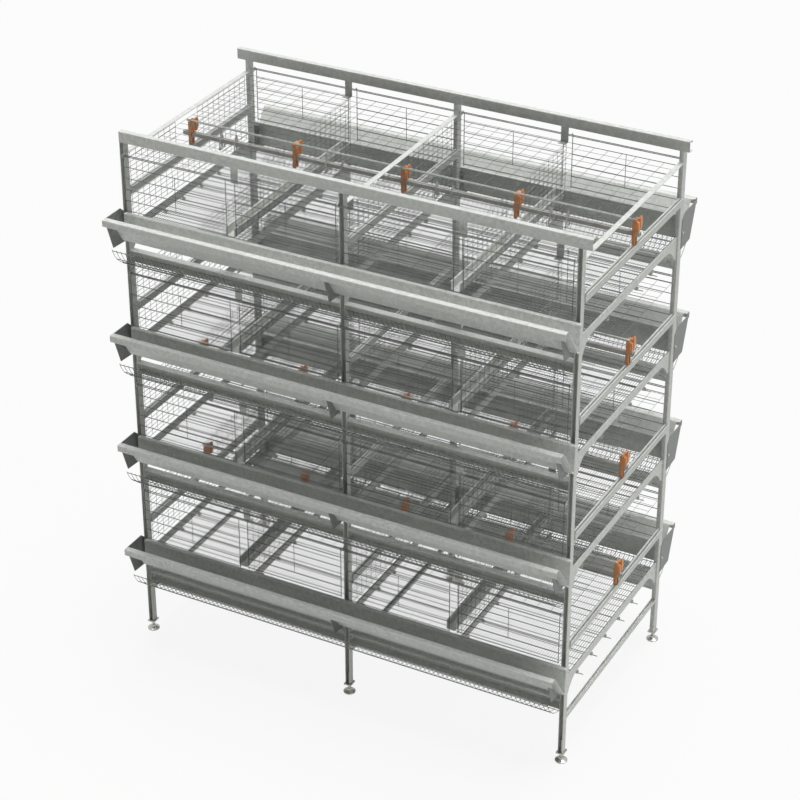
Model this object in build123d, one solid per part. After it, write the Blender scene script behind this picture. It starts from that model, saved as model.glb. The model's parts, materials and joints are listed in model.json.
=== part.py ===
"""Four-tier broiler cage: bolted C-channel frame, wire nets, feed troughs,
water lines and sliding front panels. Millimetres, X along the cage, -Y front, Z up."""

import math
import os
from build123d import *

# overall layout
BAY = 1200.0                    # upright spacing along the cage
FRAMES = (-BAY, 0.0, BAY)       # post frames
QUARTERS = (-BAY / 2, BAY / 2)  # partition frames between them
STATIONS = (-BAY, -BAY / 2, 0.0, BAY / 2, BAY)
TIERS = [623.0 + 630.0 * k for k in range(4)]   # trough lip height of each tier
FACE = 600.0                    # outer face of the uprights, from the middle
POST_IN = 560.0                 # inner face of the uprights
POST_W = 24.0
SHEET = 2.0                     # folded sheet thickness
PLATE = 3.0                     # flat plate thickness
POST_FOOT = 60.0                # underside of the uprights
RAIL_Z = 2843.0                 # underside of the top rails
RAIL_H = 57.0
RAIL_FLANGE = 40.0              # bottom flange, as deep as an upright
RAIL_BRIM = 30.0                # top flange
RAIL_LIP = 12.0
FRONT_RAIL = (-1212.0, 1257.0)
BACK_RAIL = (-1257.0, 1239.0)
TOP_TIE = (27.0, 2782.0)        # width and underside of the flat straps at the top
BOTTOM_TIE = (252.0, 270.0)     # low channel between the uprights

# levels that repeat on each tier, measured from the trough lip
HEM_Z = -30.0                   # inner flange of the trough
TROUGH_LOW = -165.0             # bottom of the trough
BEAM_TOP = -242.0               # belt beam
BEAM_LOW = -298.0
FLOOR_Z = -120.0                # top of the floor cross beams
FLOOR_LOW = -182.0
ROD_Z = 270.0                   # hanging rods of the front panels
CEILING_Z = 245.0
BAR_LOW = 45.0                  # cross bar at the post frames
BAR_TOP = 90.0
CHANNEL_LOW = -50.0             # channel under the partition nets
CHANNEL_TOP = -4.0
PIPE_Z = 146.0                  # square water pipe
PIPE = 22.0
ROUND_Z = 219.0                 # stabiliser pipe
ROUND_R = 10.0
GAP = 0.2                       # play between parts that slip into each other

# front panels
ROD_R = 3.0
ROD_FIXED_Y = -603.7            # rod that carries the fixed panels
ROD_DOOR_Y = -616.0             # rod that carries the sliding panels
FIXED_Y = -610.0                # middle of a fixed panel
DOOR_Y = -623.0                 # middle of a sliding panel
WIRE = 4.0                      # wire thickness of a panel
PANEL_ROWS = (43.0, 101.0, 159.0, 217.0)
PANEL_LOW = -18.0
PANEL_SPANS = ((-1178.0, -606.0), (-567.0, -22.0), (22.0, 594.0), (633.0, 1178.0))


def half_turn(shapes):
    """Copies of the shapes for the back of the cage."""
    return [Rot(0, 0, 180) * s for s in shapes]


def both_sides(shapes):
    """The front shapes and their half-turned copies at the back."""
    return shapes + half_turn(shapes)


def each_tier(make):
    """One result of make(z) for every tier, in one list."""
    out = []
    for z in TIERS:
        out += make(z)
    return out


def folded(path, wall):
    """Closed outline of a sheet of the given wall whose middle follows the path, with mitred bends."""
    left = []
    right = []
    for i, (a, b) in enumerate(path):
        before = path[max(i - 1, 0)]
        after = path[min(i + 1, len(path) - 1)]
        d1 = (a - before[0], b - before[1]) if i else (after[0] - a, after[1] - b)
        d2 = (after[0] - a, after[1] - b) if i < len(path) - 1 else d1
        n1 = math.hypot(*d1)
        n2 = math.hypot(*d2)
        normal = (-d1[1] / n1 - d2[1] / n2, d1[0] / n1 + d2[0] / n2)
        size = math.hypot(*normal)
        reach = wall / 2 / (size / 2)
        step = (normal[0] / size * reach, normal[1] / size * reach)
        left.append((a + step[0], b + step[1]))
        right.append((a - step[0], b - step[1]))
    return left + right[::-1]


def face_of(points):
    """Flat face bounded by the points."""
    return make_face(Polyline(*points, close=True))


def along_x(points, x0, x1):
    """Solid of a (y, z) outline, from x0 to x1."""
    return Pos(x0, 0, 0) * extrude(Plane.YZ * face_of(points), amount=x1 - x0)


def along_y(points, y0, y1):
    """Solid of an (x, z) outline, from y0 to y1."""
    return Pos(0, y1, 0) * extrude(Plane.XZ * face_of(points), amount=y1 - y0)


def many_sided(radius, sides, y, z):
    """Outline of a rod with flat sides, one of them up, at the given radius from its middle."""
    corner = radius / math.cos(math.pi / sides)
    turns = [math.pi / 2 + math.pi / sides * (2 * i + 1) for i in range(sides)]
    return [(y + corner * math.cos(a), z + corner * math.sin(a)) for a in turns]


def block(x0, x1, y0, y1, z0, z1):
    """Plain block between two corners."""
    centre = Pos((x0 + x1) / 2, (y0 + y1) / 2, (z0 + z1) / 2)
    return centre * Box(x1 - x0, y1 - y0, z1 - z0)


def spaced(low, high, count, bar):
    """Spans of the gaps between count + 1 bars of the given width."""
    pitch = (high - low - bar) / count
    return [(low + bar + i * pitch, low + (i + 1) * pitch) for i in range(count)]


def net_face(u, v, u_gaps, v_gaps):
    """Flat net as one holed face: the outline u by v without its gaps."""
    net = Pos((u[0] + u[1]) / 2, (v[0] + v[1]) / 2) * Rectangle(u[1] - u[0], v[1] - v[0])
    gaps = Sketch()
    for a, b in u_gaps:
        for c, d in v_gaps:
            gaps += Pos((a + b) / 2, (c + d) / 2) * Rectangle(b - a, d - c)
    return net - gaps


def save(name, shapes):
    """Write the node: one solid, or a group of separate solids."""
    shape = shapes[0] if len(shapes) == 1 else Compound(children=shapes)
    export_step(shape, f"parts/{name}.step")


# uprights: C channel, open to the outside
def upright(x):
    half = POST_W / 2 - SHEET / 2
    web = -POST_IN - SHEET / 2
    path = [(x - half, -FACE), (x - half, web), (x + half, web), (x + half, -FACE)]
    return Pos(0, 0, POST_FOOT) * extrude(face_of(folded(path, SHEET)), amount=RAIL_Z - POST_FOOT)


# top rails: lipped C section, web to the front on both sides of the cage
def top_rail(front, ends):
    half = SHEET / 2
    low = RAIL_Z + half
    high = RAIL_Z + RAIL_H - half
    brim = front + RAIL_BRIM - half
    path = [(front + RAIL_FLANGE, low), (front + half, low), (front + half, high), (brim, high),
            (brim, high - RAIL_LIP)]
    return along_x(folded(path, SHEET), *ends)


def top_tie(x):
    width, low = TOP_TIE
    return block(x - width / 2, x + width / 2, -POST_IN, POST_IN, low, low + PLATE)


def bottom_tie(x):
    half = POST_W / 2 - SHEET / 2
    low, high = BOTTOM_TIE
    path = [(x - half, high), (x - half, low), (x + half, low), (x + half, high)]
    return along_y(folded(path, SHEET), -POST_IN, POST_IN)


# belt beam: C section between two uprights, open to the outside
def belt_beams(z):
    web = -POST_IN - SHEET / 2
    top = z + BEAM_TOP - SHEET / 2
    low = z + BEAM_LOW + SHEET / 2
    outline = folded([(-FACE, top), (web, top), (web, low), (-FACE, low)], SHEET)
    return both_sides([along_x(outline, a + POST_W / 2, a + BAY - POST_W / 2) for a in FRAMES[:2]])


KICK_H = 68.0


def kick_plates():
    z0 = TIERS[0] + BEAM_TOP
    back = -POST_IN - SHEET / 2
    outline = folded([(back, z0), (back, z0 + KICK_H), (back - 13, z0 + KICK_H)], SHEET)
    gap = POST_W / 2 + SHEET
    return both_sides([along_x(outline, a + gap, a + BAY - gap) for a in FRAMES[:2]])


# floor cross beam: plate with a T top, gusset ends and three hooks for the belt wires
HOOKS = (-340.0, 0.0, 340.0)
HOOK_DROP = 22.0
HOOK_SEAT = 10.0                # depth of the wire below the plate
GUSSET = (16.0, 70.0)           # foot and root of the gusset at each end
FLANGE = (-8.0, 3.0)            # turned top, from the outer face of the plate


def floor_beams(z):
    top = z + FLOOR_Z
    low = z + FLOOR_LOW
    foot = z + BEAM_TOP
    end = POST_IN - 2
    tip = low - HOOK_DROP
    seat = low - HOOK_SEAT
    lower = [(-end, foot), (-end + GUSSET[0], foot), (-end + GUSSET[1], low)]
    for y in HOOKS:
        lower += [(y - 10, low), (y - 10, tip), (y + 10, tip), (y + 10, seat), (y - 2, seat), (y - 2, low)]
    lower += [(end - GUSSET[1], low), (end - GUSSET[0], foot), (end, foot)]
    web = along_x(lower + [(end, top - PLATE), (-end, top - PLATE)], -PLATE, 0)
    flange = block(*FLANGE, -end, end, top - PLATE, top)
    beam = web + flange
    return [Pos(x + PLATE, 0, 0) * beam for x in STATIONS]


WIRE_R = 2.5


def belt_wires(z):
    seat = z + FLOOR_LOW - HOOK_SEAT + WIRE_R
    return [along_x(many_sided(WIRE_R, 4, y + 4, seat), -BAY - 30, BAY + 30) for y in HOOKS]


# cross bars, which carry the clips of the water line, and partition channels: open above, edges turned out
BAR_X = (-1.0, 23.0)            # sides of a cross bar, from the middle of its post frame
BAR_EDGE = 8.0
CHANNEL_X = (-54.0, 2.0)        # sides of a partition channel, from its quarter frame
CHANNEL_EDGE = 5.0


def open_channel(sides, edge, low, top, end):
    left, right = sides
    high = top - SHEET / 2
    floor = low + SHEET / 2
    a = left + edge
    b = right - edge
    path = [(left, high), (a, high), (a, floor), (b, floor), (b, high), (right, high)]
    return along_y(folded(path, SHEET), -end, end)


def cross_bars(z):
    bar = open_channel(BAR_X, BAR_EDGE, z + BAR_LOW, z + BAR_TOP, POST_IN)
    return [Pos(x, 0, 0) * bar for x in FRAMES]


def partition_channels(z):
    channel = open_channel(CHANNEL_X, CHANNEL_EDGE, z + CHANNEL_LOW, z + CHANNEL_TOP, POST_IN + 6)
    return [Pos(x, 0, 0) * channel for x in QUARTERS]


# feed trough: one folded sheet, the lip running past the bowl at the end that a plate closes
TROUGH_X = (-1190.0, 1227.0)
LIP_X = (-1208.0, 1227.0)


def trough(z):
    path = [(-610, HEM_Z), (-629, HEM_Z), (-633, TROUGH_LOW), (-648, TROUGH_LOW), (-706, -74), (-757, -1),
            (-788, -1), (-788, -35), (-781, -35)]
    outline = folded([(y, z + h) for y, h in path], SHEET)
    sheet = along_x(outline, *LIP_X)
    return sheet - block(LIP_X[0] - 1, TROUGH_X[0], -756, -600, z - 200, z + 5)


# trough bracket: plate on the left of each upright, notched to the bowl, or whole where it closes its end
def trough_brackets(z):
    outer = [(-590, z - 196), (-701, z - 188), (-763, z - 8), (-756, z - 8)]
    notch = [(-650, z - 168), (-631, z - 168), (-627, z - 60), (-590, z - 40)]
    whole = [(-625, z - 8), (-590, z - 40)]
    front = []
    for x, inner in zip(FRAMES, (whole, notch, notch)):
        front.append(along_x(outer + inner, x - POST_W / 2 - PLATE, x - POST_W / 2))
    return both_sides(front)


# net hangers: strip with a foot that carries the ceiling net
HANGER_Y = -582.0
HANGER_X = (-3.0, 37.0)         # sides of the strip, from the quarter frame
HANGER_FOOT = 34.0


def net_hangers(z):
    high = RAIL_Z if z == TIERS[-1] else z + TIERS[1] - TIERS[0] + BEAM_LOW
    foot = z + CEILING_Z - SHEET / 2
    path = [(HANGER_Y, high), (HANGER_Y, foot), (HANGER_Y + HANGER_FOOT, foot)]
    front = [along_x(folded(path, SHEET), x + HANGER_X[0], x + HANGER_X[1]) for x in QUARTERS]
    return both_sides(front)


# rods that the panels hang on, and the lugs that hold them
LUGS = (-1188.0, -15.0, 1185.0)


def hanging_rods(z):
    front = []
    for y in (ROD_FIXED_Y, ROD_DOOR_Y):
        for a, b in zip(LUGS, LUGS[1:]):
            front.append(along_x(many_sided(ROD_R, 6, y, z + ROD_Z), a + PLATE, b))
    return both_sides(front)


def rod_lugs(z):
    rod = z + ROD_Z
    outline = [(-621, rod - 7), (-621, rod + 7), (-575, rod + 16), (-575, rod - 16)]
    return both_sides([along_x(outline, x, x + PLATE) for x in LUGS])


# wire panels of the cell fronts
def panel(span, y, z, rod_y, lift):
    x0, x1 = span
    hook = z + ROD_Z + ROD_R + lift
    high = hook + WIRE
    rows = [z + h for h in PANEL_ROWS]
    gaps = [(a + WIRE, b) for a, b in zip(rows, rows[1:])]
    net = net_face((x0, x1), (rows[0], rows[-1] + WIRE), [(x0 + WIRE, x1 - WIRE)], gaps)
    for x in (x0 + WIRE / 2, x1 - WIRE / 2):
        net += Pos(x, (z + PANEL_LOW + high) / 2) * Rectangle(WIRE, high - z - PANEL_LOW)
    solid = Pos(0, y + WIRE / 2, 0) * extrude(Plane.XZ * net, amount=WIRE)
    for x in (x0, x1 - WIRE):
        solid += block(x, x + WIRE, y, rod_y + ROD_R, hook, high)
    return solid


DOOR_SPANS = (PANEL_SPANS[0], PANEL_SPANS[2])
FIXED_SPANS = (PANEL_SPANS[1], PANEL_SPANS[3])
DOOR_LIFT = 0.6                 # play of a sliding panel's hooks over their rod


def fixed_panels(z):
    return both_sides([panel(s, FIXED_Y, z, ROD_FIXED_Y, 0) for s in FIXED_SPANS])


# floor and ceiling nets, one to a bay
NET_BAR = 6.0


def flat_nets(level, inset, y_end, x_gaps, y_gaps):
    nets = []
    for a in FRAMES[:2]:
        x = (a + inset, a + BAY - inset)
        y = (-y_end, y_end)
        net = net_face(x, y, spaced(*x, x_gaps, NET_BAR), spaced(*y, y_gaps, NET_BAR))
        nets.append(Pos(0, 0, level) * extrude(net, amount=PLATE))
    return nets


def floor_nets(z):
    return flat_nets(z + FLOOR_Z, 1, POST_IN - 4, 3, 2)


def ceiling_nets(z):
    return flat_nets(z + CEILING_Z, 18, POST_IN + 15, 3, 2)


# partition nets: a tall gap lets the water line through
PARTITION_X = (-BAY - 21, -BAY / 2 + 2, -21.0, BAY / 2 + 2)
WATER_GAP = 128.0


def partition_nets(z):
    y = (-POST_IN, POST_IN)
    v = (z + FLOOR_Z + 8, z + CEILING_Z - 3)
    sill = z + BAR_LOW
    inner = WATER_GAP / 2 + NET_BAR
    columns = [(y[0] + NET_BAR, -inner), (inner, y[1] - NET_BAR)]
    net = net_face(y, v, columns, [(v[0] + NET_BAR, v[1] - NET_BAR)])
    net -= Pos(0, (sill + v[1]) / 2) * Rectangle(WATER_GAP, v[1] - sill)
    plate = extrude(Plane.YZ * net, amount=PLATE)
    return [Pos(x, 0, 0) * plate for x in PARTITION_X]


# curled guard net below each trough, from the belt beam up under the lip
CURL = ((-602.0, -300.0), (-690.0, -259.0), (-748.0, -172.0))
CURL_X = (-1190.0, 1190.0)
CURL_STEPS = 4
CURL_GAPS = 2


def curl_net(z):
    arc = ThreePointArc(*CURL)
    path = [(p.X, z + p.Y) for p in [arc @ (i / CURL_STEPS) for i in range(CURL_STEPS + 1)]]
    sheet = along_x(folded(path, PLATE), *CURL_X)
    low, middle, high = CURL
    chord = math.degrees(math.atan2(high[1] - low[1], high[0] - low[0]))
    for x0, x1 in spaced(*CURL_X, CURL_GAPS, 8):
        gap = Rot(chord, 0, 0) * Box(x1 - x0, 164, 120)
        sheet -= Pos((x0 + x1) / 2, middle[0], z + middle[1]) * gap
    return sheet


# water line: square pipe, stabiliser pipe, clips, nipples with drip cups
PIPE_X = 1235.0
ROUND_X = 1215.0
PIPE_WALL = 2.5
CLIP_LEFT = 15.0                # middle of a clip, from its frame
CLIP_W = 30.0
CELL_MIDDLES = (-900.0, -300.0, 300.0, 900.0)
NIPPLES = [c + side for c in CELL_MIDDLES for side in (-115, -30)]


def square(side, z):
    h = side / 2
    return [(-h, z - h), (h, z - h), (h, z + h), (-h, z + h)]


def water_pipes(z):
    pipe = along_x(square(PIPE, z + PIPE_Z), -PIPE_X, PIPE_X)
    return [pipe - along_x(square(PIPE - 2 * PIPE_WALL, z + PIPE_Z), -PIPE_X - 1, PIPE_X + 1)]


def stabiliser_pipes(z):
    pipe = along_x(many_sided(ROUND_R, 8, 0, z + ROUND_Z), -ROUND_X, ROUND_X)
    return [pipe - along_x(many_sided(ROUND_R - SHEET, 8, 0, z + ROUND_Z), -ROUND_X - 1, ROUND_X + 1)]


# clip: slotted block with a cradle for the stabiliser pipe, over two legs that hold the water pipe
def pipe_clips(z):
    cradle = ROUND_Z - ROUND_R - GAP
    corner = ROUND_R + 0.5
    back = [(-17, 158), (28, 158), (36, 178), (36, 230), (29, 243), (27, 243)]
    slot = [(27, 184), (22, 184), (22, 243), (16, 243)]
    seat = [(corner, 230), (corner, cradle + 5), (5, cradle), (-5, cradle), (-17, cradle + 6)]
    upper = along_x([(y, z + h) for y, h in back + slot + seat], -CLIP_W / 2, CLIP_W / 2)
    half = [(6, 122), (8, BAR_TOP + GAP), (16, BAR_TOP + GAP), (17, 158)]
    leg_line = [(y, z + h) for y, h in half] + [(-y, z + h) for y, h in half[::-1]]
    legs = along_x(leg_line, -CLIP_W / 2, 0)
    clip = upper + legs - along_x(square(PIPE + 2 * GAP, z + PIPE_Z), -CLIP_W, CLIP_W)
    return [Pos(x + CLIP_LEFT, 0, 0) * clip for x in STATIONS]


def nipples(z):
    low = z + PIPE_Z - PIPE / 2
    body = Pos(0, 0, low - 24) * extrude(RegularPolygon(6, 4), amount=24)
    return [Pos(x, 0, 0) * body for x in NIPPLES]


# drip cup: A-shaped strap that hangs over the pipe, closed below the nipple
def drip_cups(z):
    top = z + PIPE_Z + PIPE / 2 + GAP
    low = z + PIPE_Z - 46
    inside = PIPE / 2 + GAP
    outer = [(0, top + 38), (-15, top + 2), (-26, low), (26, low), (15, top + 2)]
    inner = [(-inside, top), (-22, low + PLATE), (22, low + PLATE), (inside, top)]
    strap = along_x(outer, -3, 3) - along_x(inner, -4, 4)
    return [Pos(x, 0, 0) * strap for x in NIPPLES]


# levelling foot: disc, boss, threaded rod and lock nut under the socket
FOOT_R = 32.0
BOSS_R = 12.0
SCREW_R = 6.0
SCREW_TOP = 130.0
ROD_HOLE = 6.4
FOOT_NUT = 51.6                 # top of the lock nut
FOOT_Y = 580.0


def foot_layer(radius, sides, low, high):
    return Pos(0, 0, low) * extrude(RegularPolygon(radius, sides), amount=high - low)


def levelling_foot(x, y):
    disc = foot_layer(FOOT_R, 12, 0, 7)
    slope = math.degrees(math.atan2((FOOT_R - BOSS_R) * math.cos(math.pi / 12), 8))
    cone = Pos(0, 0, 7) * extrude(RegularPolygon(FOOT_R, 12), amount=8, taper=slope)
    boss = foot_layer(BOSS_R, 12, 15, 24)
    screw = foot_layer(SCREW_R, 8, 24, SCREW_TOP)
    nut = foot_layer(11, 6, FOOT_NUT - 9, FOOT_NUT)
    return Pos(x, y, 0) * (disc + cone + boss + screw + nut)


def foot_sockets():
    hole = foot_layer(ROD_HOLE / math.cos(math.pi / 12), 12, -5, 5)
    plate = Pos(0, 0, POST_FOOT - 4) * (Box(40, 48, 8) - hole)
    return [Pos(x, y, 0) * plate for x in FRAMES for y in (-FOOT_Y, FOOT_Y)]


# hexagon bolt heads on the trough brackets and kick plates
def bolt_heads():
    head = extrude(RegularPolygon(8, 6), amount=6)
    side = Rot(0, -90, 0) * head
    front = Rot(90, 0, 0) * head
    out = []
    for z in TIERS:
        for x in FRAMES:
            out.append(Pos(x - POST_W / 2 - PLATE, 2 - FACE, z - 110) * side)
    for x in CELL_MIDDLES:
        out.append(Pos(x, -POST_IN - SHEET, TIERS[0] + BEAM_TOP + 40) * front)
    return both_sides(out)


os.makedirs("parts", exist_ok=True)
uprights = [upright(x) for x in FRAMES]
save("uprights_front", uprights)
save("uprights_back", half_turn(uprights))
save("top_rail_front", [top_rail(-FACE - SHEET, FRONT_RAIL)])
save("top_rail_back", [top_rail(POST_IN, BACK_RAIL)])
save("top_ties", [top_tie(x) for x in FRAMES])
save("bottom_ties", [bottom_tie(x) for x in FRAMES])
save("kick_plates", kick_plates())
save("foot_sockets", foot_sockets())
save("bolts", bolt_heads())

for k, z in enumerate(TIERS, 1):
    bowl = trough(z)
    save(f"feed_trough_front_{k}", [bowl])
    save(f"feed_trough_back_{k}", half_turn([bowl]))
    for side, span in zip("ab", DOOR_SPANS):
        door = panel(span, DOOR_Y, z, ROD_DOOR_Y, DOOR_LIFT)
        save(f"door_front_{k}{side}", [door])
        save(f"door_back_{k}{side}", half_turn([door]))

for name, make in {
    "trough_brackets": trough_brackets,
    "belt_beams": belt_beams,
    "floor_beams": floor_beams,
    "belt_wires": belt_wires,
    "cross_bars": cross_bars,
    "partition_channels": partition_channels,
    "net_hangers": net_hangers,
    "hanging_rods": hanging_rods,
    "rod_lugs": rod_lugs,
    "fixed_panels": fixed_panels,
    "floor_nets": floor_nets,
    "ceiling_nets": ceiling_nets,
    "partition_nets": partition_nets,
    "water_pipes": water_pipes,
    "stabiliser_pipes": stabiliser_pipes,
    "pipe_clips": pipe_clips,
    "nipples": nipples,
    "drip_cups": drip_cups,
}.items():
    save(name, each_tier(make))

save("curl_nets", both_sides([curl_net(z) for z in TIERS]))
for row, y in (("front", -FOOT_Y), ("back", FOOT_Y)):
    for place, x in zip(("left", "mid", "right"), FRAMES):
        save(f"levelling_foot_{row}_{place}", [levelling_foot(x, y)])
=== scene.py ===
import bpy
import json
import math
import mathutils
import numpy as np
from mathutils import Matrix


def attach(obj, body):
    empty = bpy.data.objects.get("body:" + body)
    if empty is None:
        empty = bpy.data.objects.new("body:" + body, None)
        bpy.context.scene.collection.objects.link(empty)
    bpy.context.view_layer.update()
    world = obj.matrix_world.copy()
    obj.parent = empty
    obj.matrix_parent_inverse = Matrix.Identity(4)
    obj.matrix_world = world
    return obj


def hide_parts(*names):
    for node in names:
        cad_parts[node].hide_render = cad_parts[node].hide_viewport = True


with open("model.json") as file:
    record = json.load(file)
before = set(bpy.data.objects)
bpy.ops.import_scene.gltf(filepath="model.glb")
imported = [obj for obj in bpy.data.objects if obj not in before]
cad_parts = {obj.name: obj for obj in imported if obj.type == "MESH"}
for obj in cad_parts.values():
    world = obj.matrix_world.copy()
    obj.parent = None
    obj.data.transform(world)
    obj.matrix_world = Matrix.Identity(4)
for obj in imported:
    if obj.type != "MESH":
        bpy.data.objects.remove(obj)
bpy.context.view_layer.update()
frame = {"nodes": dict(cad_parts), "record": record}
print("frame loaded, nodes:", len(frame["nodes"]))

# lengths below are in millimetres, as on a workshop drawing; makePiece turns them into metres
cage = {
    "bay": 1200.0,                                # upright spacing
    "tiers": 623.0 + 630.0 * np.arange(4),        # trough lip heights
    "frames": (-1200.0, 0.0, 1200.0),
    "quarters": (-600.0, 600.0),
}


def hexToLinear(code):                            # sRGB hex to linear light, channel by channel
    c = np.array([int(code[i:i + 2], 16) for i in (1, 3, 5)]) / 255
    lin = np.where(c <= 0.04045, c / 12.92, ((c + 0.055) / 1.055) ** 2.4)
    return (*lin, 1.0)


def addNode(tree, kind, settings, inputs):        # one node with its settings, values and links
    node = tree.nodes.new(kind)
    for key, value in settings.items():
        setattr(node, key, value)
    for key, value in inputs.items():
        if isinstance(value, bpy.types.NodeSocket):
            tree.links.new(value, node.inputs[key])
        else:
            node.inputs[key].default_value = value
    return node


def newFinish(name):                              # empty material with its surface shader
    mat = bpy.data.materials.new(name)
    mat.use_nodes = True
    tree = mat.node_tree
    tree.nodes.clear()
    shader = addNode(tree, "ShaderNodeBsdfPrincipled", {}, {})
    addNode(tree, "ShaderNodeOutputMaterial", {}, {"Surface": shader.outputs["BSDF"]})
    place = addNode(tree, "ShaderNodeTexCoord", {}, {}).outputs["Object"]
    return mat, tree, shader, place


# hot-dip galvanised sheet: zinc crystals a finger wide, each a slightly different grey, under a thin dull bloom
galvanisedSheetLook = {
    "bright": "#e4e6e2", "dull": "#c8cbc7", "bloom": "#d8dad5",
    "crystal": 14.0, "cloud": 260.0, "grit": 3.0,        # mm
    "metallic": 0.1, "smooth": 0.4, "matt": 0.58,
}
bracketPaintedShadeLook = {**galvanisedSheetLook, "bright": "#989b99", "dull": "#7c7f7d", "bloom": "#8b8e8c"}   # painted shade: darker greys on the trough end plates stand for the shade beside the bowl


def galvanisedSheet(name, s):
    mat, tree, shader, place = newFinish(name)
    crystal = addNode(tree, "ShaderNodeTexVoronoi", {"feature": "F1"},
                      {"Vector": place, "Scale": 1000 / s["crystal"], "Randomness": 1.0})
    shade = addNode(tree, "ShaderNodeSeparateColor", {}, {"Color": crystal.outputs["Color"]}).outputs["Red"]
    cloud = addNode(tree, "ShaderNodeTexNoise", {}, {"Vector": place, "Scale": 1000 / s["cloud"], "Detail": 4.0})
    spangle = addNode(tree, "ShaderNodeMix", {"data_type": "RGBA"},
                      {0: shade, 6: hexToLinear(s["dull"]), 7: hexToLinear(s["bright"])})
    veil = addNode(tree, "ShaderNodeMapRange", {}, {"Value": cloud.outputs["Fac"], "From Min": 0.35, "From Max": 0.7,
                                                    "To Min": 0.1, "To Max": 0.7})
    colour = addNode(tree, "ShaderNodeMix", {"data_type": "RGBA"},
                     {0: veil.outputs["Result"], 6: spangle.outputs[2], 7: hexToLinear(s["bloom"])})
    rough = addNode(tree, "ShaderNodeMapRange", {}, {"Value": shade, "To Min": s["smooth"], "To Max": s["matt"]})
    grit = addNode(tree, "ShaderNodeTexNoise", {}, {"Vector": place, "Scale": 1000 / s["grit"], "Detail": 2.0})
    bump = addNode(tree, "ShaderNodeBump", {}, {"Strength": 0.06, "Distance": 0.0006, "Height": grit.outputs["Fac"]})
    tree.links.new(colour.outputs[2], shader.inputs["Base Color"])
    tree.links.new(rough.outputs["Result"], shader.inputs["Roughness"])
    tree.links.new(bump.outputs["Normal"], shader.inputs["Normal"])
    shader.inputs["Metallic"].default_value = s["metallic"]
    return mat


# drawn wire, welded and then galvanised: bright with small drips and dull runs of zinc
galvanisedWireLook = {"bright": "#868987", "dull": "#606362", "drip": 9.0, "run": 70.0, "metallic": 0.35}


def galvanisedWire():
    s = galvanisedWireLook
    mat, tree, shader, place = newFinish("galvanisedWire")
    run = addNode(tree, "ShaderNodeTexNoise", {}, {"Vector": place, "Scale": 1000 / s["run"], "Detail": 3.0})
    drip = addNode(tree, "ShaderNodeTexNoise", {}, {"Vector": place, "Scale": 1000 / s["drip"], "Detail": 2.0})
    fac = addNode(tree, "ShaderNodeMapRange", {}, {"Value": run.outputs["Fac"], "From Min": 0.35, "From Max": 0.65})
    colour = addNode(tree, "ShaderNodeMix", {"data_type": "RGBA"},
                     {0: fac.outputs["Result"], 6: hexToLinear(s["dull"]), 7: hexToLinear(s["bright"])})
    rough = addNode(tree, "ShaderNodeMapRange", {}, {"Value": drip.outputs["Fac"], "To Min": 0.3, "To Max": 0.5})
    bump = addNode(tree, "ShaderNodeBump", {}, {"Strength": 0.1, "Distance": 0.0004, "Height": drip.outputs["Fac"]})
    tree.links.new(colour.outputs[2], shader.inputs["Base Color"])
    tree.links.new(rough.outputs["Result"], shader.inputs["Roughness"])
    tree.links.new(bump.outputs["Normal"], shader.inputs["Normal"])
    shader.inputs["Metallic"].default_value = s["metallic"]
    return mat


# turned and zinc-plated steel: smooth, bright, a faint warm and cool cast in patches
zincPlatedLook = {"cool": "#b3b6b8", "warm": "#bdb9ac", "patch": 35.0, "turning": 0.9, "metallic": 0.8}


def zincPlatedSteel(name, look):
    mat, tree, shader, place = newFinish(name)
    patch = addNode(tree, "ShaderNodeTexNoise", {}, {"Vector": place, "Scale": 1000 / look["patch"], "Detail": 2.0})
    colour = addNode(tree, "ShaderNodeMix", {"data_type": "RGBA"},
                     {0: patch.outputs["Fac"], 6: hexToLinear(look["cool"]), 7: hexToLinear(look["warm"])})
    rough = addNode(tree, "ShaderNodeMapRange", {}, {"Value": patch.outputs["Fac"], "To Min": 0.2, "To Max": 0.42})
    marks = addNode(tree, "ShaderNodeTexNoise", {}, {"Vector": place, "Scale": 1000 / look["turning"], "Detail": 1.0})
    bump = addNode(tree, "ShaderNodeBump", {}, {"Strength": 0.05, "Distance": 0.0003, "Height": marks.outputs["Fac"]})
    tree.links.new(colour.outputs[2], shader.inputs["Base Color"])
    tree.links.new(rough.outputs["Result"], shader.inputs["Roughness"])
    tree.links.new(bump.outputs["Normal"], shader.inputs["Normal"])
    shader.inputs["Metallic"].default_value = look["metallic"]
    return mat


stainlessLook = {"cool": "#c2c4c4", "warm": "#cbc9c2", "patch": 12.0, "turning": 0.7, "metallic": 0.9}

# extruded PVC for the pipes and moulded PP for the clips: even colour, a little dust in soft patches, faint grain
pipeLook = {"clean": "#c4c3be", "dusty": "#afaea8", "dust": 90.0, "grain": 1.6, "rough": (0.38, 0.55)}
cupLook = {"clean": "#d6d5cf", "dusty": "#bfbdb4", "dust": 60.0, "grain": 1.6, "rough": (0.38, 0.55)}
clipLook = {"clean": "#e69a60", "dusty": "#cc9266", "dust": 30.0, "grain": 1.2, "rough": (0.36, 0.52)}


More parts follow.
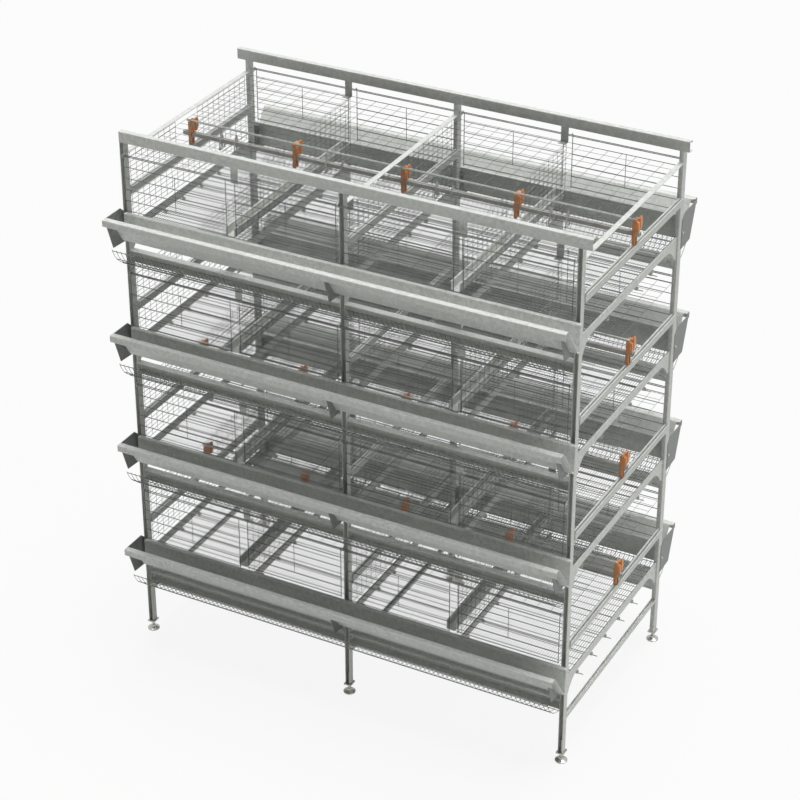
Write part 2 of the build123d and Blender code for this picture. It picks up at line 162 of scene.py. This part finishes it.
def mouldedPlastic(name, look):
    mat, tree, shader, place = newFinish(name)
    dust = addNode(tree, "ShaderNodeTexNoise", {}, {"Vector": place, "Scale": 1000 / look["dust"], "Detail": 4.0})
    fac = addNode(tree, "ShaderNodeMapRange", {}, {"Value": dust.outputs["Fac"], "From Min": 0.4, "From Max": 0.72})
    colour = addNode(tree, "ShaderNodeMix", {"data_type": "RGBA"},
                     {0: fac.outputs["Result"], 6: hexToLinear(look["clean"]), 7: hexToLinear(look["dusty"])})
    rough = addNode(tree, "ShaderNodeMapRange", {}, {"Value": dust.outputs["Fac"], "To Min": look["rough"][0],
                                                     "To Max": look["rough"][1]})
    grain = addNode(tree, "ShaderNodeTexNoise", {}, {"Vector": place, "Scale": 1000 / look["grain"], "Detail": 2.0})
    bump = addNode(tree, "ShaderNodeBump", {}, {"Strength": 0.08, "Distance": 0.0003, "Height": grain.outputs["Fac"]})
    tree.links.new(colour.outputs[2], shader.inputs["Base Color"])
    tree.links.new(rough.outputs["Result"], shader.inputs["Roughness"])
    tree.links.new(bump.outputs["Normal"], shader.inputs["Normal"])
    shader.inputs["IOR"].default_value = 1.5
    return mat


finishes = {
    "galvanised_sheet": galvanisedSheet("galvanisedSheet", galvanisedSheetLook),
    # painted shade: the end plates' finish is darkened to stand for the shade they sit in
    "bracket": galvanisedSheet("paintedShadeGalvanisedSheet", bracketPaintedShadeLook),
    "galvanised_wire": galvanisedWire(),
    "zinc_plated_steel": zincPlatedSteel("zincPlatedSteel", zincPlatedLook),
    "stainless_steel": zincPlatedSteel("stainlessSteel", stainlessLook),
    "white_plastic": mouldedPlastic("whitePvc", cupLook),
    "pipe": mouldedPlastic("greyPvc", pipeLook),
    "orange_plastic": mouldedPlastic("orangePolypropylene", clipLook),
}
# the trough end plates take the painted-shade finish in place of their slot's sheet
ownFinish = {"trough_brackets": "bracket"}        # nodes whose finish isn't the one of their slot
for part in frame["record"]["subparts"]:
    for slot in frame["nodes"][part["node"]].material_slots:
        slot.material = finishes[ownFinish.get(part["node"], part["material_slot"])]
print("materials:", len(finishes))


# a part is (vertices, four-cornered faces); every shape below is worked out as whole arrays
def wires(paths, radius, sides=6):
    # a ring of the given radius square to the mean of the two neighbouring runs at each point of each path,
    # widened by one over the cosine of half the bend, quads between rings, flat ends
    p = np.asarray(paths, float)
    count, points = p.shape[:2]
    run = np.diff(p, axis=1)
    run /= np.linalg.norm(run, axis=2, keepdims=True)
    before = np.concatenate([run[:, :1], run], axis=1)
    after = np.concatenate([run, run[:, -1:]], axis=1)
    along = before + after
    half = np.linalg.norm(along, axis=2, keepdims=True) / 2
    along /= 2 * half
    flat = np.abs(along[:, :1, 2:]) < 0.9
    guide = np.where(np.all(flat, axis=2, keepdims=True), np.array([0.0, 0, 1]), np.array([1.0, 0, 0]))
    if points > 2:                                # a bent wire takes the normal of its own plane as guide
        normal = np.cross(run[:, :1], run[:, -1:])
        size = np.linalg.norm(normal, axis=2, keepdims=True)
        guide = np.where(size > 1e-6, normal / np.maximum(size, 1e-9), guide)
    u = np.cross(guide, along)
    u /= np.linalg.norm(u, axis=2, keepdims=True)
    v = np.cross(along, u)
    angle = 2 * np.pi * np.arange(sides) / sides
    ring = (np.cos(angle)[:, None] * (u / half)[:, :, None] + np.sin(angle)[:, None] * v[:, :, None]) * radius
    vertices = (p[:, :, None] + ring).reshape(-1, 3)
    index = np.arange(count * points * sides).reshape(count, points, sides)
    around = np.roll(index, -1, axis=2)
    sideFaces = np.stack([index[:, :-1], around[:, :-1], around[:, 1:], index[:, 1:]], axis=-1).reshape(-1, 4)
    fan = np.array([[0, i + 3, i + 2, i + 1] for i in range(0, sides - 2, 2)])
    ends = np.concatenate([index[:, 0][:, fan].reshape(-1, 4), index[:, -1][:, fan[:, ::-1]].reshape(-1, 4)])
    return vertices, np.concatenate([sideFaces, ends])


def roundedPath(points, bend, steps=5):
    # every inner corner becomes a curve (1-s)^2 start + 2s(1-s) corner + s^2 end,
    # with start and end the bend away from it
    p = np.asarray(points, float)
    a, b, c = p[:-2], p[1:-1], p[2:]
    la = np.linalg.norm(a - b, axis=1, keepdims=True)
    lc = np.linalg.norm(c - b, axis=1, keepdims=True)
    start = b + (a - b) * np.minimum(bend / la, 0.45)
    end = b + (c - b) * np.minimum(bend / lc, 0.45)
    s = np.linspace(0, 1, steps)[None, :, None]
    curve = (1 - s) ** 2 * start[:, None] + 2 * s * (1 - s) * b[:, None] + s ** 2 * end[:, None]
    return np.concatenate([p[:1], curve.reshape(-1, 2), p[-1:]])


def foldedSheet(points, wall, bend, low, high, axes):
    # the rounded path is offset by half the wall to both sides along its normal; the closed outline runs
    # from low to high, which may be functions of the outline's points; axes says where (first, second, along)
    # lie in x y z
    line = roundedPath(points, bend)
    run = np.diff(line, axis=0)
    run /= np.linalg.norm(run, axis=1, keepdims=True)
    mean = np.concatenate([run[:1], run[:-1] + run[1:], run[-1:]])
    mean /= np.linalg.norm(mean, axis=1, keepdims=True)
    offset = np.stack([-mean[:, 1], mean[:, 0]], axis=1) * wall / 2
    outline = np.concatenate([line + offset, (line - offset)[::-1]])
    n, m = len(line), len(outline)
    ends = [e(outline) if callable(e) else np.full(m, e) for e in (low, high)]
    grid = np.stack([np.column_stack([outline, e]) for e in ends])
    grid = grid[:, :, [axes.index(k) for k in "xyz"]]
    i = np.arange(m)
    j = np.roll(i, -1)
    sheetFaces = np.stack([i, j, j + m, i + m], axis=1)
    k = np.arange(n - 1)
    capLow = np.stack([k, m - 1 - k, m - 2 - k, k + 1], axis=1)
    capHigh = np.stack([k, k + 1, m - 2 - k, m - 1 - k], axis=1) + m
    faces = np.concatenate([sheetFaces, capLow, capHigh])
    evenTurn = axes in ("xyz", "yzx", "zxy")      # keeps the faces pointing outwards
    return grid.reshape(-1, 3), faces[:, ::-1] if evenTurn else faces


def turned(profile, sides, square=2.0, closed=False, thread=None):
    # every (radius, height) of the profile goes once round the axis; square is the power n of
    # |cos|^n + |sin|^n = r^-n, so that 2 is a circle and more is a square with eased corners;
    # thread is (depth, pitch) of a groove that climbs with the turn
    p = np.asarray(profile, float)
    angle = 2 * np.pi * np.arange(sides) / sides
    reach = (np.abs(np.cos(angle)) ** square + np.abs(np.sin(angle)) ** square) ** (-1 / square)
    radius = p[:, :1] * reach
    if thread:
        climb = (p[:, 1:] / thread[1] - angle / (2 * np.pi)) % 1
        radius = radius - thread[0] * np.abs(2 * climb - 1)
    ring = np.stack([radius * np.cos(angle), radius * np.sin(angle), np.repeat(p[:, 1:], sides, axis=1)], axis=-1)
    index = np.arange(len(p) * sides).reshape(len(p), sides)
    upper = np.roll(index, -1, axis=0) if closed else index[1:]
    lower = index if closed else index[:-1]
    faces = np.stack([lower, np.roll(lower, -1, axis=1), np.roll(upper, -1, axis=1), upper], axis=-1)
    return ring.reshape(-1, 3), faces.reshape(-1, 4)


def laidAlongX(part):                             # the turning axis becomes the length of the cage
    return part[0][:, [2, 0, 1]], part[1]


def moved(part, x=0.0, y=0.0, z=0.0):
    return part[0] + np.array([x, y, z]), part[1]


def halfTurned(part):                             # the back of the cage is the front turned about the upright axis
    return part[0] * np.array([-1.0, -1.0, 1.0]), part[1]


def bothSides(parts):
    return parts + [halfTurned(p) for p in parts]


def allTiers(parts):
    return [moved(p, z=z) for z in cage["tiers"] for p in parts]


def makePiece(name, parts, slot, body, nodes, crease=35, finish=None):
    start = np.cumsum([0] + [len(p[0]) for p in parts])
    vertices = np.concatenate([p[0] for p in parts]) / 1000
    faces = np.concatenate([p[1] + s for p, s in zip(parts, start)])
    mesh = bpy.data.meshes.new(name)
    mesh.vertices.add(len(vertices))
    mesh.vertices.foreach_set("co", vertices.ravel())
    mesh.loops.add(faces.size)
    mesh.loops.foreach_set("vertex_index", faces.ravel().astype(np.int32))
    mesh.polygons.add(len(faces))
    mesh.polygons.foreach_set("loop_start", np.arange(0, faces.size, 4, dtype=np.int32))
    mesh.polygons.foreach_set("use_smooth", np.ones(len(faces), bool))
    mesh.update(calc_edges=True)
    mesh.validate()
    mesh.set_sharp_from_angle(angle=math.radians(crease))
    mesh.materials.append(finishes[finish or slot])
    obj = bpy.data.objects.new(name, mesh)
    bpy.context.scene.collection.objects.link(obj)
    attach(obj, body)
    if nodes:
        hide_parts(*nodes)
    return obj


def straight(starts, ends):                       # two-point paths from arrays of end points
    return np.stack([np.column_stack(starts), np.column_stack(ends)], axis=1)


def gridLine(low, high, pitch):                   # evenly spaced places, as near to the pitch as the span allows
    return np.linspace(low, high, max(2, round((high - low) / pitch) + 1))


# floor nets: close wires from front to back, welded on lengthwise carriers, one net to a bay
floorNet = {"level": -117.5, "pitch": 12.7, "carrier": 50.0, "wire": 1.25, "carrierWire": 1.5, "weld": 0.4,
            "end": 555.0, "inset": 3.0}


def floorNets():
    s = floorNet
    parts = []
    for x0 in cage["frames"][:2]:
        x = gridLine(x0 + s["inset"], x0 + cage["bay"] - s["inset"], s["pitch"])
        y = gridLine(-s["end"], s["end"], s["carrier"])
        same = np.ones_like
        parts.append(wires(straight((x, -s["end"] * same(x), s["level"] * same(x)),
                                    (x, s["end"] * same(x), s["level"] * same(x))), s["wire"]))
        low = s["level"] - s["wire"] - s["carrierWire"] + s["weld"]
        parts.append(wires(straight((x[0] * same(y), y, low * same(y)), (x[-1] * same(y), y, low * same(y))),
                           s["carrierWire"]))
    return makePiece("floorNets", allTiers(parts), "galvanised_wire", "cage", ["floor_nets"])


# ceiling nets: wider gaps and thinner wire
ceilingNet = {"level": 246.2, "xPitch": 75.0, "yPitch": 57.0, "wire": 0.95, "weld": 0.3, "end": 574.0, "inset": 18.0}


def ceilingNets():
    s = ceilingNet
    parts = []
    for x0 in cage["frames"][:2]:
        x = gridLine(x0 + s["inset"], x0 + cage["bay"] - s["inset"], s["xPitch"])
        y = gridLine(-s["end"], s["end"], s["yPitch"])
        same = np.ones_like
        parts.append(wires(straight((x, -s["end"] * same(x), s["level"] * same(x)),
                                    (x, s["end"] * same(x), s["level"] * same(x))), s["wire"]))
        up = s["level"] + 2 * s["wire"] - s["weld"]
        parts.append(wires(straight((x[0] * same(y), y, up * same(y)), (x[-1] * same(y), y, up * same(y))),
                           s["wire"]))
    return makePiece("ceilingNets", allTiers(parts), "galvanised_wire", "cage", ["ceiling_nets"])


# partition nets between the cells and at the left end, notched for the water line
partitionNet = {"places": (-1219.5, -596.5, -19.5, 603.5), "low": -111.0, "high": 241.0, "end": 559.0, "wire": 1.2,
                "upright": 0.9, "weld": 0.3, "uprightPitch": 50.0, "levelPitch": 25.0,
                "notch": 64.0, "notchLow": 46.0}


def partitionNets():
    s = partitionNet
    y = gridLine(-s["end"], s["end"], s["uprightPitch"])
    z = gridLine(s["low"], s["high"], s["levelPitch"])
    top = np.where(np.abs(y) < s["notch"], z[z <= s["notchLow"] + 1].max(), s["high"])
    parts = [wires(straight((0 * y, y, s["low"] + 0 * y), (0 * y, y, top)), s["upright"])]
    off = s["wire"] + s["upright"] - s["weld"]
    below = z[z <= s["notchLow"] + 1]
    above = z[z > s["notchLow"] + 1]
    edge = np.abs(y)[np.abs(y) >= s["notch"]].min()
    parts.append(wires(straight((off + 0 * below, -s["end"] + 0 * below, below),
                                (off + 0 * below, s["end"] + 0 * below, below)), s["wire"]))
    for side in (-1, 1):
        parts.append(wires(straight((off + 0 * above, side * edge + 0 * above, above),
                                    (off + 0 * above, side * s["end"] + 0 * above, above)), s["wire"]))
    parts = [moved(p, x=x) for x in s["places"] for p in parts]
    return makePiece("partitionNets", allTiers(parts), "galvanised_wire", "cage", ["partition_nets"])


# curled guard nets under the troughs: bent wires side by side on a few lengthwise ones
curlNet = {"arc": ((-602.0, -300.0), (-690.0, -259.0), (-748.0, -172.0)), "span": (-1189.0, 1189.0), "pitch": 25.0,
           "wire": 1.3, "long": (0.02, 0.34, 0.66, 0.98), "longWire": 1.8, "weld": 0.4, "steps": 9}


def arcThrough(a, b, c, share):
    # circle through three points: its middle solves two equations of equal distance,
    # and the angle runs evenly from a to c
    a, b, c = (np.array(q) for q in (a, b, c))
    middle = np.linalg.solve(2 * np.array([b - a, c - b]), np.array([b @ b - a @ a, c @ c - b @ b]))
    radius = np.linalg.norm(a - middle)
    angle = [math.atan2(*(q - middle)[::-1]) for q in (a, c)]
    turn = (angle[1] - angle[0] + math.pi) % (2 * math.pi) - math.pi
    t = angle[0] + turn * np.asarray(share)
    return middle + radius * np.stack([np.cos(t), np.sin(t)], axis=-1)


def curlNets():
    s = curlNet
    x = gridLine(*s["span"], s["pitch"])
    arc = arcThrough(*s["arc"], np.linspace(0, 1, s["steps"]))
    bent = np.empty((len(x), s["steps"], 3))
    bent[:, :, 0] = x[:, None]
    bent[:, :, 1:] = arc
    hold = arcThrough(*s["arc"], s["long"]) + np.array([0.0, -s["wire"] - s["longWire"] + s["weld"]])
    ends = np.ones(len(hold))
    parts = [wires(bent, s["wire"]),
             wires(straight((s["span"][0] * ends, *hold.T), (s["span"][1] * ends, *hold.T)), s["longWire"])]
    return makePiece("curlNets", allTiers(bothSides(parts)), "galvanised_wire", "cage", ["curl_nets"])


# cell front panels: five level wires and a short stay between two end wires that hook over a rod
frontPanel = {"spans": ((-1178.0, -606.0), (-567.0, -22.0), (22.0, 594.0), (633.0, 1178.0)),
              "rows": (-10.0, 45.0, 104.0, 163.0, 222.0), "low": -18.0, "rod": 270.0, "wire": 2.0, "weld": 0.5,
              "stay": 1.6, "stayEnd": 2.0, "hookTurn": (1.0, 0.25), "hookSteps": 8, "hookRise": 0.97,
              "doorY": -623.0, "doorRodY": -616.0, "fixedY": -610.0, "fixedRodY": -603.7}


def panelParts(span, y, rodY):
    s = frontPanel
    x0, x1 = span[0] + s["wire"], span[1] - s["wire"]
    z = np.array(s["rows"])
    same = np.ones(len(z))
    front = y * same - 2 * s["wire"] + s["weld"]
    level = wires(straight((span[0] * same, front, z), (span[1] * same, front, z)), s["wire"], 8)
    turn = np.linspace(s["hookTurn"][0] * math.pi, s["hookTurn"][1] * math.pi, s["hookSteps"])
    reach = abs(rodY - y)
    bow = np.stack([rodY + reach * np.cos(turn), s["rod"] + reach * np.sin(turn) * s["hookRise"]], axis=1)
    side = np.concatenate([[[y, s["low"]]], bow])
    hooks = np.empty((2, len(side), 3))
    hooks[:, :, 0] = np.array([[x0], [x1]])
    hooks[:, :, 1:] = side
    middle = (x0 + x1) / 2
    stay = wires(np.array([[[middle, y, z[1] - s["stayEnd"]], [middle, y, z[-1] + s["stayEnd"]]]]), s["stay"], 8)
    return [level, wires(hooks, s["wire"], 8), stay]


def frontPanels():
    s = frontPanel
    fixed = [p for k in (1, 3) for p in panelParts(s["spans"][k], s["fixedY"], s["fixedRodY"])]
    makePiece("fixedPanels", allTiers(bothSides(fixed)), "galvanised_wire", "cage", ["fixed_panels"])
    for k, z in enumerate(cage["tiers"], 1):
        for letter, span in zip("ab", (s["spans"][0], s["spans"][2])):
            door = [moved(p, z=z) for p in panelParts(span, s["doorY"], s["doorRodY"])]
            for side, parts in (("front", door), ("back", [halfTurned(p) for p in door])):
                node = f"door_{side}_{k}{letter}"
                makePiece(f"slidingPanel_{side}_{k}{letter}", parts, "galvanised_wire", node, [node])


# feed troughs: one folded sheet with eased bends; the lip runs past one end of the bowl
feedTrough = {"profile": ((-610, -30), (-629, -30), (-633, -165), (-648, -165), (-706, -74), (-757, -1), (-788, -1),
                          (-788, -35), (-781, -35)),
              "wall": 2.0, "bend": 5.0, "bowl": (-1190.0, 1227.0), "lip": (-1208.0, 1227.0), "lipStart": -757.0}


def feedTroughs():
    s = feedTrough
    ends = [lambda q, k=k: np.where(q[:, 0] < s["lipStart"], s["lip"][k], s["bowl"][k]) for k in (0, 1)]
    sheet = foldedSheet(s["profile"], s["wall"], s["bend"], *ends, "yzx")
    for k, z in enumerate(cage["tiers"], 1):
        front = moved(sheet, z=z)
        for side, part in (("front", front), ("back", halfTurned(front))):
            makePiece(f"feedTrough_{side}_{k}", [part], "galvanised_sheet", "cage", [f"feed_trough_{side}_{k}"])


# frame sections, each one folded sheet with eased bends; paths lie at the middle of the sheet
frameSection = {
    "wall": 2.0, "bend": 3.5, "tight": 2.0, "postFoot": 60.0, "railLow": 2843.0,
    "post": (11.0, -600.0, -561.0),               # half width, open face, web
    "frontRail": (-602.0, -1212.0, 1257.0), "backRail": (560.0, -1257.0, 1239.0),
    "rail": ((40, 1), (1, 1), (1, 56), (29, 56), (29, 44)),     # from the front and the lower edge
    "beam": ((-600, -243), (-561, -243), (-561, -297), (-600, -297)), "beamGap": 12.0,
    "kick": ((-561, 381), (-561, 449), (-574, 449)), "kickGap": 14.0,
    "tie": (11.0, 252.0, 270.0, 560.0),           # half width, low, high, end
    "bar": (-1.0, 23.0, 45.0, 90.0, 8.0, 560.0), "channel": (-54.0, 2.0, -50.0, -4.0, 5.0, 566.0),
}


def section(path, low, high, axes, bend=None):
    return foldedSheet(path, frameSection["wall"], bend or frameSection["bend"], low, high, axes)


def frameSections():
    s = frameSection
    half, face, web = s["post"]
    posts = [section([(x - half, face), (x - half, web), (x + half, web), (x + half, face)],
                     s["postFoot"], s["railLow"], "xyz") for x in cage["frames"]]
    makePiece("postsFront", posts, "galvanised_sheet", "cage", ["uprights_front"])
    makePiece("postsBack", [halfTurned(p) for p in posts], "galvanised_sheet", "cage", ["uprights_back"])
    for name, node, key in (("railFront", "top_rail_front", "frontRail"), ("railBack", "top_rail_back", "backRail")):
        y, x0, x1 = s[key]
        path = np.array(s["rail"]) + np.array([y, s["railLow"]])
        makePiece(name, [section(path, x0, x1, "yzx")], "galvanised_sheet", "cage", [node])
    spans = [(x, x + cage["bay"]) for x in cage["frames"][:2]]
    beams = [section(s["beam"], a + s["beamGap"], b - s["beamGap"], "yzx") for a, b in spans]
    makePiece("beltBeams", allTiers(bothSides(beams)), "galvanised_sheet", "cage", ["belt_beams"])
    kicks = [section(s["kick"], a + s["kickGap"], b - s["kickGap"], "yzx") for a, b in spans]
    makePiece("kickPlates", bothSides(kicks), "galvanised_sheet", "cage", ["kick_plates"])
    half, low, high, end = s["tie"]
    ties = [section([(x - half, high), (x - half, low), (x + half, low), (x + half, high)], -end, end, "xzy")
            for x in cage["frames"]]
    makePiece("lowTies", ties, "galvanised_sheet", "cage", ["bottom_ties"])
    for name, node, places, key in (("crossBars", "cross_bars", cage["frames"], "bar"),
                                    ("partitionChannels", "partition_channels", cage["quarters"], "channel")):
        x0, x1, z0, z1, edge, end = s[key]
        top, low = z1 - s["wall"] / 2, z0 + s["wall"] / 2
        path = np.array([(x0, top), (x0 + edge, top), (x0 + edge, low), (x1 - edge, low), (x1 - edge, top), (x1, top)])
        bars = [section(path + np.array([x, 0]), -end, end, "xzy", s["tight"]) for x in places]
        makePiece(name, allTiers(bars), "galvanised_sheet", "cage", [node])


# floor cross beams: plate with a turned top, gusset ends and a row of hooks that hold the belt wires
floorBeam = {"hooks": (-425.0, -255.0, -85.0, 85.0, 255.0, 425.0), "end": 558.0, "top": -120.0, "low": -162.0,
             "foot": -242.0, "gusset": (16.0, 150.0), "steps": 12, "plate": 3.0, "flange": -5.0, "bend": 2.5,
             "hook": ((-5.0, 8.0), (-5.0, -26.0), (3.0, -31.5), (11.0, -26.0), (11.0, -16.0)),
             "strip": (2.6, 6.0, -11.0, 2.8)}     # thickness, bend, from, to


def slab(y, low, high, x0, x1):
    # plate between two curves low(y) and high(y), from x0 to x1: a ring of four corners at each y,
    # joined to the next ring
    corners = ((x0, low), (x1, low), (x1, high), (x0, high))
    ring = np.stack([np.column_stack((0 * y + x, y, z)) for x, z in corners], axis=1)
    index = np.arange(4 * len(y)).reshape(-1, 4)
    around = np.roll(index, -1, axis=1)
    sides = np.stack([index[:-1], index[1:], around[1:], around[:-1]], axis=-1).reshape(-1, 4)
    return ring.reshape(-1, 3), np.concatenate([sides, index[:1], index[-1:, ::-1]])


def floorBeams():
    s = floorBeam
    end, (tip, root) = s["end"], s["gusset"]
    # the lower edge runs level and drops to the feet as the third power of the way along the gusset
    y = np.concatenate([np.linspace(-end, -end + root, s["steps"]), np.linspace(end - root, end, s["steps"])])
    way = np.clip((np.abs(y) - end + root) / (root - tip), 0, 1)
    low = s["low"] + (s["foot"] - s["low"]) * way ** 3
    parts = [slab(y, low, s["top"] - s["bend"] + 0 * y, 0.0, s["plate"]),
             foldedSheet([(s["flange"], s["top"] - s["plate"] / 2), (s["plate"] / 2, s["top"] - s["plate"] / 2),
                          (s["plate"] / 2, s["top"] - 2 * s["plate"])], s["plate"], s["bend"], -end, end, "xzy")]
    parts += [foldedSheet(np.array(s["hook"]) + np.array([h, s["low"]]), *s["strip"], "yzx") for h in s["hooks"]]
    stations = np.linspace(-cage["bay"], cage["bay"], 5)
    beams = [moved(p, x=x) for x in stations for p in parts]
    makePiece("floorBeams", allTiers(beams), "galvanised_sheet", "cage", ["floor_beams"])


# round stock: panel rods, belt wires and the two pipes of the water line
roundStock = {"rod": 2.2, "rodZ": 270.0, "rodY": (-603.7, -616.0), "rodX": ((-1185.0, -15.0), (-12.0, 1185.0)),
              "beltWire": 2.2, "beltZ": -189.7, "beltShift": 4.0, "beltX": 1230.0,
              "stabiliser": (5.6, 4.2, 1215.0, 214.4), "water": (11.0, 8.5, 1235.0, 146.0)}


def roundPieces():
    s = roundStock
    rods = [wires(np.array([[[x0, y, s["rodZ"]], [x1, y, s["rodZ"]]]]), s["rod"], 12)
            for y in s["rodY"] for x0, x1 in s["rodX"]]
    makePiece("panelRods", allTiers(bothSides(rods)), "galvanised_wire", "cage", ["hanging_rods"])
    belt = [wires(np.array([[[-s["beltX"], y, s["beltZ"]], [s["beltX"], y, s["beltZ"]]]]), s["beltWire"], 10)
            for y in np.array(floorBeam["hooks"]) + s["beltShift"]]
    makePiece("beltWires", allTiers(belt), "galvanised_wire", "cage", ["belt_wires"])
    for name, node, slot, key, power, finish in (
            ("stabiliserPipes", "stabiliser_pipes", "galvanised_sheet", "stabiliser", 2.0, None),
            ("waterPipes", "water_pipes", "white_plastic", "water", 14.0, "pipe")):
        outer, inner, end, z = s[key]
        pipe = laidAlongX(turned([(outer, -end), (outer, end), (inner, end), (inner, -end)], 32, power, closed=True))
        makePiece(name, allTiers([moved(pipe, z=z)]), slot, "cage", [node], finish=finish)


# pipe clips: block with a cradle for the round pipe and two ribs with a slot between, over legs astride the
# square pipe; each form is (along y, lower edge, upper edge, from x, to x)
pipeClip = {"block": ((-17, -15.5, -5, 5, 6.2, 7.4, 22, 29, 31), (160, 158, 158, 158, 158, 158, 158, 158, 164),
                      (214, 215, 208.4, 208.4, 211, 219, 219, 217, 212), -15.0, 8.0),
            "frontRib": ((-13, -12, 2, 3), (161, 160, 160, 161), (205, 206.5, 206.5, 205), 7.5, 15.0),
            "backRib": ((10, 11, 18, 26, 34, 35), (161, 160, 160, 168, 180, 182), (218, 224, 231, 229, 214, 205),
                        7.5, 15.0),
            "leg": ((8, 11.6, 12.2, 16, 17), (91, 90.8, 90.8, 90.8, 120), (117, 124, 159, 159, 159), -15.0, 0.0),
            "middle": 15.0}


def pipeClips():
    s = pipeClip
    forms = ("block", "frontRib", "backRib", "leg")
    shapes = [[np.array(c, float) for c in s[k][:3]] + list(s[k][3:]) for k in forms]
    y, low, high, x0, x1 = shapes[3]
    shapes.append([-y[::-1], low[::-1], high[::-1], x0, x1])
    clip = [slab(*shape) for shape in shapes]
    stations = np.linspace(-cage["bay"], cage["bay"], 5) + s["middle"]
    clips = [moved(p, x=x) for x in stations for p in clip]
    makePiece("pipeClips", allTiers(clips), "orange_plastic", "cage", ["pipe_clips"])


# levelling feet: turned disc and boss, screwed rod, chamfered lock nut
levellingFoot = {"disc": ((0.1, 0), (29, 0), (31.3, 0.8), (32, 2.6), (32, 5), (31.2, 6.8), (28, 8.2), (14.5, 13.6),
                          (12.4, 15.4), (12, 17.5), (12, 22.8), (11.2, 24), (5.6, 24)),
                 "nut": ((6.0, 42.6), (9.6, 42.6), (11, 43.8), (11, 50.4), (9.6, 51.6), (6.0, 51.6)),
                 "screw": (6.0, 23.0, 130.0), "thread": (0.9, 1.75), "y": 580.0}


def levellingFeet():
    s = levellingFoot
    radius, low, high = s["screw"]
    climb = np.linspace(low, high, round((high - low) / s["thread"][1]) * 5)
    rod = np.column_stack([np.full(len(climb), radius), climb])
    rod = np.concatenate([rod, [(radius - 1.2, high), (0.1, high)]])
    foot = [turned(s["disc"], 48), turned(s["nut"], 6), turned(rod, 20, thread=s["thread"])]
    for side, y in (("front", -s["y"]), ("back", s["y"])):
        for place, x in zip(("left", "mid", "right"), cage["frames"]):
            body = f"levelling_foot_{side}_{place}"
            parts = [moved(p, x=x, y=y) for p in foot]
            makePiece(f"levellingFoot_{side}_{place}", parts, "zinc_plated_steel", body, [body])


floorNets()
ceilingNets()
partitionNets()
curlNets()
print("nets made")
frontPanels()
print("panels made")
feedTroughs()
print("troughs made")
frameSections()
floorBeams()
roundPieces()
pipeClips()
levellingFeet()
print("frame dressed")


# studio: white paper under and around the cage, broad light from above and behind, less from the right
studio = {"floor": "#d2d2d0", "floorSize": 60.0, "paper": 0.9, "surround": 0.05,
          "overhead": ((0.06, 0.1, 1.0), 3.2, 40.0), "right": ((1.0, -0.1, 0.3), 0.4, 40.0)}


def seenDirectly(tree):                           # 1 for the eye, in reflections and through clear things, else 0
    path = addNode(tree, "ShaderNodeLightPath", {}, {})
    mirrored = addNode(tree, "ShaderNodeMath", {"operation": "MAXIMUM"},
                       {0: path.outputs["Is Glossy Ray"], 1: path.outputs["Is Transmission Ray"]}).outputs[0]
    return addNode(tree, "ShaderNodeMath", {"operation": "MAXIMUM"},
                   {0: path.outputs["Is Camera Ray"], 1: mirrored}).outputs[0]


def studioFloor():                                # the paper share is plain white, the rest takes light and shadow
    h = studio["floorSize"] / 2
    mesh = bpy.data.meshes.new("studioFloor")
    mesh.from_pydata([(-h, -h, 0), (h, -h, 0), (h, h, 0), (-h, h, 0)], [], [(0, 1, 2, 3)])
    mat = bpy.data.materials.new("matPaper")
    mat.use_nodes = True
    tree = mat.node_tree
    tree.nodes.clear()
    lit = addNode(tree, "ShaderNodeBsdfDiffuse", {}, {"Color": hexToLinear(studio["floor"])})
    plain = addNode(tree, "ShaderNodeEmission", {}, {"Color": (1, 1, 1, 1), "Strength": 1.0})
    share = addNode(tree, "ShaderNodeMapRange", {}, {"Value": seenDirectly(tree), "To Max": studio["paper"]})
    both = addNode(tree, "ShaderNodeMixShader", {},
                   {0: share.outputs["Result"], 1: lit.outputs[0], 2: plain.outputs[0]})
    addNode(tree, "ShaderNodeOutputMaterial", {}, {"Surface": both.outputs[0]})
    mesh.materials.append(mat)
    floor = bpy.data.objects.new("studioFloor", mesh)
    bpy.context.scene.collection.objects.link(floor)


def surroundings():                               # white to the eye, softer as a light
    world = bpy.data.worlds.new("studioWorld")
    world.use_nodes = True
    tree = world.node_tree
    tree.nodes.clear()
    strength = addNode(tree, "ShaderNodeMapRange", {},
                       {"Value": seenDirectly(tree), "To Min": studio["surround"], "To Max": 1.0})
    back = addNode(tree, "ShaderNodeBackground", {}, {"Color": (1, 1, 1, 1), "Strength": strength.outputs["Result"]})
    addNode(tree, "ShaderNodeOutputWorld", {}, {"Surface": back.outputs["Background"]})
    bpy.context.scene.world = world


def broadLamp(name, fromWay, strength, spread):   # parallel light with soft edges, from the given way
    lamp = bpy.data.lights.new(name, "SUN")
    lamp.energy = strength
    lamp.angle = math.radians(spread)
    obj = bpy.data.objects.new(name, lamp)
    obj.rotation_euler = mathutils.Vector(fromWay).to_track_quat("Z", "Y").to_euler()
    obj.location = np.array(fromWay) * 6
    bpy.context.scene.collection.objects.link(obj)


photoView = {"place": (4.949, -9.337, 7.598), "tilt": 59.78, "turn": 27.99, "lens": 109.03}


def photoCamera():
    data = bpy.data.cameras.new("photoView")
    data.lens = photoView["lens"]
    data.sensor_width = 36.0
    data.clip_end = 200.0
    obj = bpy.data.objects.new("photoView", data)
    obj.location = photoView["place"]
    obj.rotation_euler = (math.radians(photoView["tilt"]), 0, math.radians(photoView["turn"]))
    bpy.context.scene.collection.objects.link(obj)
    bpy.context.scene.camera = obj


studioFloor()
surroundings()
for lampName in ("overhead", "right"):
    broadLamp(lampName + "Lamp", *studio[lampName])
photoCamera()
bpy.context.scene.view_settings.view_transform = "Standard"
print("studio ready")
